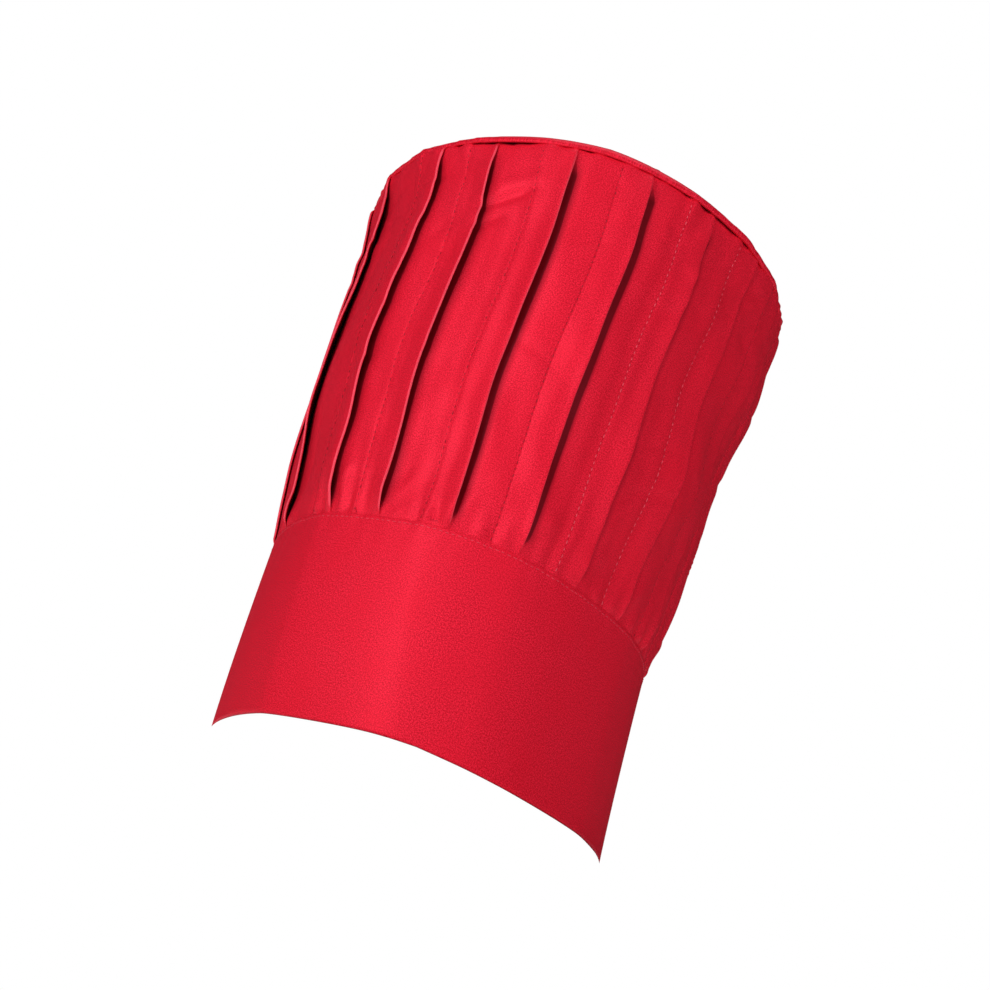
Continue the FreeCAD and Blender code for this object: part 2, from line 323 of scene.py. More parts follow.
def grid_faces(rows, columns, closed=False, skip=None):
    """Quads between a grid's rows and columns; closed joins the last column to the first."""
    faces = []
    last = columns if closed else columns - 1
    for row in range(rows - 1):
        for column in range(last):
            if skip and skip(row, column):
                continue
            right = (column + 1) % columns
            low, high = row * columns, (row + 1) * columns
            faces.append((low + column, low + right, high + right, high + column))
    return faces


def solidify(obj, thickness):
    """Gives a sheet its thickness, on its inner side."""
    modifier = obj.modifiers.new("thickness", "SOLIDIFY")
    modifier.thickness = thickness
    modifier.offset = -1


# ---- Materials ----


class Nodes:
    """Builds one material's node tree."""

    def __init__(self, name):
        self.material = bpy.data.materials.new(name)
        self.material.use_nodes = True
        self.tree = self.material.node_tree
        self.tree.nodes.clear()

    def feed(self, socket, value):
        if isinstance(value, bpy.types.NodeSocket):
            self.tree.links.new(value, socket)
        else:
            socket.default_value = value

    def add(self, kind, inputs=None, **settings):
        node = self.tree.nodes.new(kind)
        for key, value in settings.items():
            setattr(node, key, value)
        for key, value in (inputs or {}).items():
            self.feed(node.inputs[key], value)
        return node

    def math(self, operation, first, second=0.0):
        return self.add("ShaderNodeMath", {0: first, 1: second}, operation=operation).outputs[0]

    def wave(self, value, length):
        return self.math("SINE", self.math("MULTIPLY", value, 2 * math.pi / length))

    def mix(self, factor, first, second):
        node = self.add("ShaderNodeMix", data_type="RGBA")
        for key, value in (("Factor", factor), ("A", first), ("B", second)):
            self.feed([i for i in node.inputs if i.name == key and i.enabled][0], value)
        return [o for o in node.outputs if o.enabled][0]

    def noise(self, vector, scale, detail=2.0, roughness=0.5):
        return self.add(
            "ShaderNodeTexNoise", {"Vector": vector, "Scale": scale, "Detail": detail, "Roughness": roughness}
        ).outputs["Fac"]

    def ramp(self, value, low, high, out_low=0.0, out_high=1.0):
        return self.add(
            "ShaderNodeMapRange",
            {"Value": value, "From Min": low, "From Max": high, "To Min": out_low, "To Max": out_high},
        ).outputs[0]

    def finish(self, shader):
        output = self.add("ShaderNodeOutputMaterial")
        self.tree.links.new(shader, output.inputs["Surface"])
        return self.material


def cloth_material(name, colour, dark, light, weave=0.35, satin=0.25):
    """Sateen twill: fine slanting ribs, slubs, soft blotches and coloured highlights.

    The open_air attribute paints shade on it towards 0 (deep in a fold) and a painted highlight above 1
    (along a fold's edge).
    """
    nodes = Nodes(name)
    place = nodes.add("ShaderNodeAttribute", attribute_name="cloth").outputs["Vector"]
    split = nodes.add("ShaderNodeSeparateXYZ", {0: place})
    across, along = split.outputs[0], split.outputs[1]
    rib = nodes.wave(nodes.math("ADD", across, along), 0.62 * MM)
    pick = nodes.wave(nodes.math("SUBTRACT", along, across), 0.9 * MM)
    stretch = {0: place, 1: (1.0, 0.4, 1.0)}
    stretched = nodes.add("ShaderNodeVectorMath", stretch, operation="MULTIPLY").outputs[0]
    slub = nodes.noise(stretched, 1200.0, 2.0)
    coarse, fine = nodes.noise(place, 1650.0, 2.0), nodes.noise(place, 3100.0, 2.0)
    grain = nodes.math("MULTIPLY", nodes.math("ADD", coarse, fine), 0.5)
    blotch = nodes.noise(place, 45.0, 3.0)
    height = nodes.math("ADD", nodes.math("MULTIPLY", rib, 0.25), nodes.math("MULTIPLY", pick, 0.15))
    height = nodes.math("ADD", height, nodes.math("MULTIPLY", grain, 1.6))
    tone = nodes.mix(nodes.ramp(grain, 0.43, 0.57), dark, light)
    tone = nodes.mix(nodes.ramp(slub, 0.35, 0.65, 0.0, 0.15), tone, colour)
    tone = nodes.mix(nodes.ramp(blotch, 0.3, 0.7, 0.0, 0.35), tone, colour)
    air = nodes.add("ShaderNodeAttribute", attribute_name="open_air").outputs["Fac"]
    # Painted highlight: above open_air 1 the cloth turns towards this pale pink, along a fold's edge.
    edge_highlight_colour = tuple(0.5 * c + 0.5 * p for c, p in zip(light[:3], (1.0, 0.22, 0.3))) + (1.0,)
    tone = nodes.mix(nodes.ramp(air, 1.0, 1.5), tone, edge_highlight_colour)
    # Painted shade: towards open_air 0 the cloth turns to a dark copy of its colour, deep in a fold.
    tone = nodes.mix(nodes.math("MINIMUM", air, 1.0), tuple(0.22 * c for c in colour[:3]) + (1.0,), tone)
    bump = nodes.add("ShaderNodeBump", {"Strength": weave, "Distance": 0.12 * MM, "Height": height})
    rough = nodes.ramp(grain, 0.3, 0.7, 0.37, 0.55)
    shader = nodes.add(
        "ShaderNodeBsdfPrincipled",
        {
            "Base Color": tone,
            "Roughness": rough,
            "Metallic": satin,
            "Specular IOR Level": 0.34,
            "Specular Tint": (1.0, 0.5, 0.75, 1.0),
            "Normal": bump.outputs[0],
        },
    )
    return nodes.finish(shader.outputs[0])


def thread_material(name, colour):
    """Spun thread: twisted plies with a little shine."""
    nodes = Nodes(name)
    place = nodes.add("ShaderNodeTexCoord").outputs["Object"]
    ply = nodes.noise(place, 4000.0, 1.0)
    tone = nodes.mix(nodes.ramp(ply, 0.3, 0.7), tuple(0.7 * c for c in colour[:3]) + (1.0,), colour)
    bump = nodes.add("ShaderNodeBump", {"Strength": 0.4, "Distance": 0.05 * MM, "Height": ply})
    shader = nodes.add(
        "ShaderNodeBsdfPrincipled",
        {"Base Color": tone, "Roughness": 0.4, "Specular IOR Level": 0.3, "Normal": bump.outputs[0]},
    )
    return nodes.finish(shader.outputs[0])


RED = (0.80, 0.007, 0.024, 1.0)
RED_DARK = (0.56, 0.003, 0.012, 1.0)
RED_LIGHT = (1.0, 0.022, 0.060, 1.0)

red_cloth = cloth_material("red_cloth", RED, RED_DARK, RED_LIGHT)
red_binding = cloth_material("red_binding", RED, RED_DARK, RED_LIGHT, weave=0.8)
WHITE = (0.70, 0.69, 0.66, 1), (0.60, 0.59, 0.56, 1), (0.78, 0.77, 0.75, 1)
LABEL_WHITE = (0.82, 0.81, 0.78, 1), (0.74, 0.73, 0.70, 1), (0.88, 0.87, 0.85, 1)
TAPE_RED = (0.42, 0.006, 0.016, 1), (0.34, 0.004, 0.012, 1), (0.50, 0.010, 0.024, 1)
interlining = cloth_material("white_interlining", *WHITE, satin=0)
label_cloth = cloth_material("white_label", *LABEL_WHITE, satin=0)
tape_cloth = cloth_material("red_tape", *TAPE_RED, satin=0)
red_thread = thread_material("red_thread", (0.92, 0.11, 0.16, 1.0))
seam_thread = thread_material("seam_thread", (0.78, 0.03, 0.06, 1.0))
edge_thread = thread_material("edge_thread", (0.82, 0.06, 0.10, 1.0))
# A darker copy of the red thread: painted shade on the stitches of the sunken tucks.
shaded_thread = thread_material("shaded_thread", (0.40, 0.008, 0.02, 1.0))
pale_thread = thread_material("pale_thread", (0.75, 0.73, 0.7, 1.0))


# ---- Headband ----


def band_profile():
    """The folded strip's cross-section as (out, height) pairs: one loop round both layers and the pocket."""
    inner = -3 * CLOTH - 2 * GAP
    fold = -inner / 2
    outside = [(0, z) for z in np.linspace(BAND_TOP - 0.6 * MM, fold, 46)]
    turn = [
        (-fold + fold * math.cos(a), fold - fold * math.sin(a)) for a in np.linspace(0, math.pi, 9)[1:-1]
    ]
    inside = [(inner, z) for z in np.linspace(fold, BAND_TOP - 0.4 * MM, 24)]
    inner_edge = [(inner + 0.2 * MM, BAND_TOP), (inner + 0.5 * MM, BAND_TOP)]
    inner_edge += [(inner + CLOTH, BAND_TOP - 0.4 * MM)]
    pocket = [(inner + CLOTH, z) for z in np.linspace(BAND_TOP - 10 * MM, CLOTH + 0.6 * MM, 8)]
    pocket += [(-fold, CLOTH)]
    pocket += [(-CLOTH, z) for z in np.linspace(CLOTH + 0.6 * MM, BAND_TOP - 1 * MM, 8)]
    outer_edge = [(-CLOTH, BAND_TOP - 0.3 * MM), (-0.45 * MM, BAND_TOP + 0.05 * MM), (-0.15 * MM, BAND_TOP)]
    return outside + turn + inside + inner_edge + pocket + outer_edge


def make_band():
    profile = band_profile()
    half_slit = SLIT_WIDTH / 2
    stations = np.linspace(BACK + half_slit, BACK + LENGTH - half_slit, 520)
    out = np.array([p[0] for p in profile])[:, None]
    z = np.array([p[1] for p in profile])[:, None]
    points = on_band(stations[None, :], z, out)
    rows, columns = len(profile), len(stations)
    faces = grid_faces(rows + 1, columns)
    count = rows * columns
    faces = [tuple(i % count for i in f)[::-1] for f in faces]
    faces.append([row * columns for row in range(rows)])
    faces.append([row * columns + columns - 1 for row in range(rows)][::-1])
    cloth = np.stack(np.broadcast_arrays(stations[None, :], z, (out < -CLOTH) * 0.5), axis=-1)
    band = new_object("band_cloth", points, faces, cloth=cloth)
    band.data.materials.append(red_cloth)
    attach(band, "hat", "band")


# ---- Crown wall with its folded tucks ----

# How far each tuck stands open half way up, in mm, from the front round towards +X.
OPENING = [2.3, 2.2, 1.1, 0.7, 0.7, 1.0, 2.0, 2.6, 2.2, 2.8, 2.4, 2.0, 2.8, 2.4, 1.6, 0.2, 2.0, 2.2, 2.6, 2.7]
# How wide the painted shade of the fold's mouth reaches beyond its edge, in mm.
MOUTH = [3.9, 2.7, 1.0, 0.5, 0.5, 0.8, 0.6, 0.8, 0.7, 0.8, 0.7, 0.6, 0.8, 0.7, 0.6, 0.3, 0.3, 0.3, 0.6, 2.5]
# How strongly a painted highlight lightens its fold's edge, 0 to 1.
EDGE_HIGHLIGHT = [0.2, 0.15] + [0.3] * 12 + [0.5, 0.6, 0.7, 0.75, 0.75, 0.45]
# How much its edge wanders.
WANDER = [0.35, 0.35, 0.4, 0.4, 0.4] + [0.8] * 10 + [0.2, 0.6, 0.8, 0.8, 0.35]
FOLD_RADIUS = 0.6 * MM
STITCH_AT = FIRST_STITCH + PITCH * np.arange(TUCKS + 1)
STITCH_AT[12:19] += np.array([-3.0, -7.0, -10.0, -14.0, -12.0, 1.5, -2.5]) * MM  # not quite evenly spaced


def tuck_waves(z, seed, waves):
    """The sum of a few seeded waves up a tuck, given as (wavelength in mm, size)."""
    rng = np.random.default_rng(seed)
    total = 0.0
    for wavelength, size in waves:
        length = wavelength * rng.uniform(0.85, 1.2) * MM
        total = total + size * np.sin(2 * math.pi * (z / length + rng.random()))
    return total


def tuck_open(index, z):
    """How far the tuck's fold stands off the wall at a height: pressed flat where the seams catch it."""
    t = crown_share(z)
    wave = tuck_waves(z, 200 + index, ((95, 0.15), (52, 0.10), (31, 0.05)))
    free = smooth(t / 0.07) * smooth((1 - t) / 0.13)
    return 2 * FOLD_RADIUS + 0.3 * MM + OPENING[index] * MM * free * (1 + wave)


def tuck_reach(index, z):
    """Distance from the stitch line to the fold at a height: the fold's edge wanders a little."""
    t = crown_share(z)
    drift = MM * tuck_waves(z, 300 + index, ((92, 0.42), (46, 0.30), (29, 0.12)))
    free = smooth(t / 0.15) * smooth((1 - t) / 0.12)
    return TUCK_DEPTH + drift * free * WANDER[index]


def ground_puff(index):
    """How far the wall stands out midway between a tuck's fold and the next stitch line."""
    return 0.35 * MM + 0.10 * MM * OPENING[index]


def tuck_rise(share):
    """The rise of a tuck's layers from its stitch line (0) to its fold (1)."""
    return 0.5 * share + 0.5 * share**2


def pleat_columns(index, z):
    """One pleat's cross-section at each height in z, as (s, out, cloth, air) arrays of rows by columns.

    The cloth runs over the tuck to its fold, back under it to the stitch line, and on along the wall.
    """
    start = STITCH_AT[index]
    z = z[:, None]
    high, reach = tuck_open(index, z), tuck_reach(index, z)
    root = 0.25 * MM
    columns = []

    def column(s, out, cloth, air):
        columns.append([value + 0 * z for value in (s, out, cloth, air)])

    flat = reach - FOLD_RADIUS
    for share in (0.0, 0.03, 0.08, 0.16, 0.28, 0.42, 0.56, 0.7, 0.82, 0.92, 1.0):
        dip = 0.22 * MM * bell(share, 0, 0.05)
        column(start + flat * share, root + (high - root) * tuck_rise(share) - dip, TUCK_DEPTH * share, 1)
    for angle in np.linspace(0, math.pi, 9)[1:-1]:
        s, out = start + flat + FOLD_RADIUS * math.sin(angle), high - FOLD_RADIUS * (1 - math.cos(angle))
        # A painted highlight along the fold's edge; past the turn, painted shade starts under the fold.
        pale = 0.5 * EDGE_HIGHLIGHT[index] * smooth(angle / 0.7) * smooth((2.1 - angle) / 0.5)
        column(s, out, TUCK_DEPTH + FOLD_RADIUS * angle, 1 + pale - smooth((angle - 2.0) / 0.8))
    under = high - 2 * FOLD_RADIUS
    # The layer under the tuck and the wall beneath it get painted shade (open_air 0).
    for share in (1.0, 0.75, 0.5, 0.25, 0.08):
        rise = 0.02 * MM + under * tuck_rise(share)
        column(start + flat * share, rise, 2 * TUCK_DEPTH - TUCK_DEPTH * share, 0)
    column(start + 0.3 * MM, 0.06 * MM, 2 * TUCK_DEPTH, 0)
    for share in (0.06, 0.35, 0.65):
        column(start + TUCK_DEPTH * share, 0, 2 * TUCK_DEPTH + TUCK_DEPTH * share, 0)
    open_share = np.clip((high - 2 * FOLD_RADIUS - 0.3 * MM) / (OPENING[index] * MM), 0, 1)
    t = crown_share(z)
    # Painted shadow on the wall just beyond the fold's edge: dark is its strength, width its reach.
    dark = smooth(t / 0.05) * np.minimum(1.8 * open_share, 1)
    width = MOUTH[index] * MM * np.minimum(0.5 + 2.5 * t, 1) * dark
    for share in (0.8, 0.94):
        column(start + reach * share, 0, 2 * TUCK_DEPTH + TUCK_DEPTH * share, 1 - dark)
    edge_of_dark = start + reach + width - 0.5 * MM
    column(edge_of_dark, 0, 3 * TUCK_DEPTH, 1 - dark)
    column(edge_of_dark + 0.4 * MM, 0.02 * MM, 3 * TUCK_DEPTH + 0.4 * MM, 1 - 0.4 * dark)
    ground = STITCH_AT[index + 1] - start - TUCK_DEPTH
    puff = ground_puff(index)
    before_slit = ground - FIRST_STITCH - SLIT_WIDTH / 2
    after_slit = before_slit + SLIT_WIDTH
    stops = [share * ground for share in (0.25, 0.31, 0.37, 0.44)]
    stops += [before_slit, after_slit]
    stops += [ground - left * MM for left in (5, 3.2, 1.8, 0.9, 0.35)]
    for stop in stops:
        share = stop / ground
        lean = (reach - TUCK_DEPTH) * (1 - smooth(share / 0.5))
        out = puff * math.sin(math.pi * share) + root * smooth((share - 0.7) / 0.3)
        column(start + TUCK_DEPTH + stop + lean, out, 3 * TUCK_DEPTH + stop, 1)
    slit_column = len(columns) - len(stops) + stops.index(before_slit)
    s, out, cloth, air = (np.concatenate([c[k] for c in columns], axis=1) for k in range(4))
    return s, out, cloth, air, slit_column


def off_band(z):
    """0 where the wall is sewn to the band, 1 a little above."""
    return smooth((z - BAND_TOP + 0.5 * MM) / (4.5 * MM))


def wall_heights():
    hem = [BAND_TOP - 6 * MM, BAND_TOP - 3 * MM, BAND_TOP - 1 * MM]
    start = [BAND_TOP + h * MM for h in (0.0, 0.8, 1.6, 2.5, 3.5)]
    body = list(np.linspace(BAND_TOP + 5 * MM, SEAM_Z - 4.5 * MM, 108))
    end = [SEAM_Z - h * MM for h in (3.4, 2.4, 1.5, 0.8, 0.3, 0.0)]
    return np.array(sorted(hem + start + body + end + [SLIT_TOP]))


def make_wall():
    heights = wall_heights()
    parts = [pleat_columns(index, heights) for index in range(TUCKS)]
    per_pleat = parts[0][0].shape[1]
    s, out, cloth_u, air = (np.concatenate([p[k] for p in parts], axis=1) for k in range(4))
    cloth_u += np.repeat(np.arange(TUCKS), per_pleat) * (PITCH + 2 * TUCK_DEPTH)
    z = heights[:, None] + 0 * s
    free = smooth((z - BAND_TOP - 1 * MM) / (3 * MM)) * smooth((SEAM_Z - 1 * MM - z) / (4 * MM))
    # The painted shade and highlight fade out near both seams.
    air = 1 + (air - 1) * free
    caught = off_band(z) * (1 - 0.75 * smooth((z - SEAM_Z + 3 * MM) / (3 * MM)))
    tucked_in = -0.35 * MM * smooth((z - SEAM_Z + 1.6 * MM) / (1.6 * MM))
    points = on_wall(s, z, out * (0.03 + 0.97 * caught) + tucked_in)
    slit = (TUCKS // 2 - 1) * per_pleat + parts[0][4]
    slit_row = int(np.argmin(abs(heights - SLIT_TOP)))
    rows, columns = s.shape
    faces = grid_faces(rows, columns, True, lambda row, column: column == slit and row < slit_row)
    cloth = np.stack([cloth_u, z, 0 * z], axis=-1)
    wall = new_object("crown_wall_cloth", points, faces, cloth=cloth, open_air=air)
    wall.data.materials.append(red_cloth)
    solidify(wall, 0.1 * MM)
    attach(wall, "hat", "crown_wall")


# ---- Crown top ----

TOP_RINGS = 30
TOP_SPOKES = 200


def puff_top(obj, pinned):
    """Lets the top's cloth settle by simulation, slack and pushed up a little from inside."""
    group = obj.vertex_groups.new(name="pin")
    group.add(pinned, 1.0, "REPLACE")
    modifier = obj.modifiers.new("cloth", "CLOTH")
    settings = modifier.settings
    settings.quality = 6
    settings.mass = 0.15
    settings.tension_stiffness = 12
    settings.compression_stiffness = 12
    settings.shear_stiffness = 4
    settings.bending_stiffness = 0.6
    settings.shrink_min = -0.022
    settings.use_pressure = True
    settings.uniform_pressure_force = 0.35
    settings.effector_weights.gravity = 0.3
    settings.vertex_group_mass = "pin"
    modifier.point_cache.frame_start = 1
    modifier.point_cache.frame_end = 24
    scene = bpy.context.scene
    for step in range(1, 25):
        scene.frame_set(step)
    depsgraph = bpy.context.evaluated_depsgraph_get()
    settled = bpy.data.meshes.new_from_object(obj.evaluated_get(depsgraph))
    obj.modifiers.clear()
    co = np.zeros(len(settled.vertices) * 3)
    settled.vertices.foreach_get("co", co)
    scene.frame_set(1)
    return co.reshape(-1, 3)


def calm_middle(points, rim_rows):
    """Evens out the panel's middle, where the mesh's spokes meet, and puckers the cloth beside the rim."""
    rows = points[:-1].reshape(-1, TOP_SPOKES, 3)
    s = np.arange(TOP_SPOKES) * LENGTH / TOP_SPOKES
    for row in range(rim_rows, len(rows)):
        share = (row - rim_rows + 1) / TOP_RINGS
        even = smooth((share - 0.45) / 0.4)
        rows[row, :, 2] = rows[row, :, 2] * (1 - even) + rows[row, :, 2].mean() * even
        from_rim = share * HALF_W
        rows[row, :, 2] += 0.7 * MM * ripple(s, 0 * s, 22, 13 * MM, 50 * MM) * math.exp(-from_rim / (9 * MM))
        waves = 1.0 * MM * ripple(s, 0 * s + from_rim, 23, 70 * MM, 60 * MM)
        rows[row, :, 2] += waves * (1 - even) * smooth(share / 0.2)
    points[-1, 2] = rows[-1, :, 2].mean() + 0.02 * MM
    missing = top_high.z - points[-1, 2]
    share = np.hypot(points[:, 0] / (HALF_W + TOP_GROW), points[:, 1] / (HALF_D + TOP_GROW))
    points[:, 2] += missing * np.clip(1 - share**2, 0, 1)
    points[:, 2] = np.minimum(points[:, 2], top_high.z + 1 * MM)
    return points


def make_top():
    """The oval top: a rolled rim over the seam, then a soft panel."""
    s = np.arange(TOP_SPOKES) * LENGTH / TOP_SPOKES
    share = np.mod(s - FIRST_STITCH, PITCH) / PITCH
    chord = -1.1 * MM * 4 * share * (1 - share)
    rim = [(-1.2, -0.9), (-0.2, -0.9), (0.4, -0.5), (0.65, 0.2), (0.55, 1.1), (0.05, 1.9), (-0.9, 2.5)]
    rim += [(-2.2, 2.9)]
    points = []
    for out, up in rim:
        gather = 0.22 * MM * ripple(s, 0 * s + up * MM, 21, 9 * MM, 50 * MM)
        points.append(on_oval(s, SEAM_Z + up * MM + 0 * s, TOP_GROW, out * MM + chord + gather))
    edge = points[-1]
    rise = top_high.z - SEAM_Z - 2.9 * MM
    for ring in range(1, TOP_RINGS):
        inward = 1 - ring / TOP_RINGS
        row = edge.copy()
        row[:, :2] *= inward
        row[:, 2] += 0.75 * rise * (1 - inward**2.2)
        points.append(row)
    rows = len(points)
    grid = np.concatenate(points)
    centre = np.array([[0, 0, SEAM_Z + 2.9 * MM + 0.75 * rise]])
    faces = grid_faces(rows, TOP_SPOKES, True)
    last = (rows - 1) * TOP_SPOKES
    hub = rows * TOP_SPOKES
    faces += [(last + i, last + (i + 1) % TOP_SPOKES, hub) for i in range(TOP_SPOKES)]
    points = np.concatenate([grid, centre])
    top = new_object("crown_top_cloth", points, faces, cloth=points * np.array([1, 1, 0]))
    held = list(range(len(rim) * TOP_SPOKES))
    settled = puff_top(top, held)
    settled = calm_middle(settled, len(rim))
    top.data.vertices.foreach_set("co", settled.ravel())
    top.data.update()
    top.data.materials.append(red_cloth)
    solidify(top, 0.35 * MM)
    attach(top, "hat", "crown_top")


# ---- Stitching ----

STITCH_SIDES = 6
THREAD = 0.19 * MM  # radius
# A stitch's rings: share of its length, swelling, and height over the cloth in thread radii.
STITCH_RINGS = (
    (0, 0.35, -0.9),
    (0.12, 0.85, -0.15),
    (0.35, 1, 0.25),
    (0.65, 1, 0.25),
    (0.88, 0.85, -0.15),
    (1, 0.35, -0.9),
)


def many(rings, pattern):
    """Points and faces of many like pieces, from each ring point of them all and the faces of one."""
    points = np.stack(rings, axis=1)
    per = points.shape[1]
    return points, [[i + n * per for i in f] for n in range(len(points)) for f in pattern]


def stitches(name, starts, ends, normals, thread, radius=THREAD):
    """Separate stitches between pairs of points, each a short thread whose ends dive into the cloth."""
    starts, ends, normals = (np.asarray(a).reshape(-1, 3) for a in (starts, ends, normals))
    along = ends - starts
    forward = along / np.linalg.norm(along, axis=1, keepdims=True)
    side = np.cross(forward, normals)
    side /= np.linalg.norm(side, axis=1, keepdims=True)
    up = np.cross(side, forward)
    rings = []
    for share, swell, height in STITCH_RINGS:
        centre = starts + along * share + up * height * radius
        for k in range(STITCH_SIDES):
            angle = 2 * math.pi * k / STITCH_SIDES
            rings.append(centre + radius * swell * (side * math.cos(angle) + up * math.sin(angle)))
    pattern = grid_faces(len(STITCH_RINGS), STITCH_SIDES, True)
    pattern.append(list(range(STITCH_SIDES))[::-1])
    pattern.append(list(range(len(rings) - STITCH_SIDES, len(rings))))
    obj = new_object(name, *many(rings, pattern))
    obj.data.materials.append(thread)
    return obj


SUNKEN = (0, 3, 4, 15, 16, 17, 18, 19)  # tucks whose stitches sit deeper in the cloth, and take the darker thread as painted shade


def make_tuck_stitching():
    """A row of stitches up the root of every tuck."""
    low, high, pitch, length = BAND_TOP + 1.5 * MM, SEAM_Z - 1.5 * MM, 3.0 * MM, 2.0 * MM
    z = np.arange(low, high - length, pitch)
    starts, ends, normals = [], [], []
    for index in range(TUCKS):
        rng = np.random.default_rng(400 + index)
        s = STITCH_AT[index] - 0.25 * MM + 0 * z
        wander = 0.12 * MM * rng.standard_normal(len(z))
        sunk = 0.07 if index in SUNKEN else 0
        lift = (0.26 - sunk - 0.12 * rng.random(len(z))) * MM
        starts.append(on_wall(s + wander, z, lift))
        ends.append(on_wall(s + wander, z + length * rng.uniform(0.6, 1.0, len(z)), lift))
        normals.append(outward(s))
    rows = (np.concatenate(part) for part in (starts, ends, normals))
    obj = stitches("tuck_stitches", *rows, red_thread)
    # The sunken tucks' stitches take the darker thread: painted shade.
    obj.data.materials.append(shaded_thread)
    per_tuck = len(obj.data.polygons) // TUCKS
    for index in SUNKEN:
        for face in range(index * per_tuck, (index + 1) * per_tuck):
            obj.data.polygons[face].material_index = 1
    attach(obj, "hat", "tuck_stitching")


def make_band_stitching():
    """The edge-stitch just under the band's top edge."""
    pitch, length = 2.9 * MM, 2.1 * MM
    s = np.arange(LENGTH / 2 + 2 * MM, 1.5 * LENGTH - 3 * MM, pitch)
    z = BAND_TOP - 1.6 * MM + 0 * s
    rng = np.random.default_rng(41)
    lift = 0.04 * MM - 0.08 * MM * rng.random(len(s))
    starts = on_band(s, z, lift)
    grown = length * rng.uniform(0.7, 1.0, len(s))
    ends = on_band(s + grown, z + 0.1 * MM * rng.standard_normal(len(s)), lift)
    obj = stitches("band_edge_stitches", starts, ends, outward(s + length / 2), edge_thread, 0.16 * MM)
    attach(obj, "hat", "band_top_stitching")


# ---- Soft flat pieces: tapes, interlinings, label, bindings ----


def edged(low, high, steps):
    """Grid lines from low to high, packed closer at both ends."""
    near = np.array([0, 0.15, 0.4, 0.8, 1.4, 2.2]) * MM
    between = np.linspace(low + 4 * MM, high - 4 * MM, steps)
    return np.unique(np.concatenate([low + near, high - near, between]))


def slab(name, node, surface, grid, inner, outer, body, material, closed=False):
    """A soft flat piece on a surface, between two distances out from it.

    grid: its s, its z, and each point's distance from the piece's own edge, where the piece is rounded off.
    """
    s, z, edge = grid
    half = (outer - inner) / 2
    middle = (outer + inner) / 2
    near = np.clip(edge / np.maximum(half, 0.2 * MM), 0, 1)
    half = half * (0.3 + 0.7 * np.sqrt(1 - (1 - near) ** 2))
    over, under = surface(s, z, middle + half), surface(s, z, middle - half)
    rows, columns = s.shape
    count = rows * columns
    top = grid_faces(rows, columns, closed)
    faces = top + [tuple(i + count for i in f)[::-1] for f in top]
    last = columns if closed else columns - 1
    sides = []
    for column in range(last):
        right, high = (column + 1) % columns, (rows - 1) * columns
        sides += [(right, column), (high + column, high + right)]
    if not closed:
        for row in range(rows - 1):
            low, up = row * columns, (row + 1) * columns
            sides += [(low, up), (up + columns - 1, low + columns - 1)]
    faces += [(a, b, b + count, a + count) for a, b in sides]
    flat = np.stack([s, z, 0 * s], axis=-1)
    obj = new_object(name, [over, under], faces, cloth=[flat, flat + np.array([0.3, 0.2, 0.1])])
    obj.data.materials.append(material)
    attach(obj, body, node)
    return obj


def oblong(s_low, s_high, z_low, z_high, steps, corner=0.0):
    """Grid and edge distances of an oblong; corner rounds the two corners of its s_high end."""
    z = edged(z_low, z_high, steps)[:, None]
    s = edged(s_low, s_high, steps)[None, :]
    from_side = np.minimum(z - z_low, z_high - z)
    short = corner - np.clip(from_side, 0, corner)
    cut = corner - np.sqrt(np.maximum(corner**2 - short**2, 0)) if corner else 0 * z
    end = s_high - cut
    spread = s_low + (s - s_low) * (end - s_low) / (s_high - s_low)
    z = z + 0 * s
    edge = np.minimum(np.minimum(spread - s_low, end - spread), from_side + 0 * s)
    return spread, z, edge


def stitch_path(corners, pitch=2.9 * MM, length=2.1 * MM):
    """Stitches as (start, end) rows of (s, z), run along straight lines between the corners."""
    starts, ends = [], []
    for first, second in zip(corners[:-1], corners[1:]):
        first, second = np.array(first, float), np.array(second, float)
        span = np.linalg.norm(second - first)
        count = max(1, round(span / pitch))
        for k in range(count):
            starts.append(first + (second - first) * k / count)
            ends.append(first + (second - first) * (k + length / pitch) / count)
    return np.array(starts), np.array(ends)


def sew(
    name, node, surface, corners, out, body="hat", inside=False, thread=None, pitch=2.9 * MM, length=2.1 * MM
):
    """Stitches along a path over a surface, on its outside or its inside."""
    starts, ends = stitch_path(corners, pitch, length)
    normals = outward((starts[:, 0] + ends[:, 0]) / 2) * (-1 if inside else 1)
    first = surface(starts[:, 0], starts[:, 1], out + 0 * starts[:, 0])
    second = surface(ends[:, 0], ends[:, 1], out + 0 * starts[:, 0])
    obj = stitches(name, first, second, normals, thread or red_thread)
    attach(obj, body, node)
    return obj


def frame_path(s_low, s_high, z_low, z_high):
    return [(s_low, z_low), (s_high, z_low), (s_high, z_high), (s_low, z_high), (s_low, z_low)]


def tape_seam(first, last):
    """The sewn path round a tape of the closure, between two polar angles in degrees."""
    return frame_path(s_of_polar(first), s_of_polar(last), TAPE_LOW + 1.5 * MM, TAPE_HIGH - 1.5 * MM)


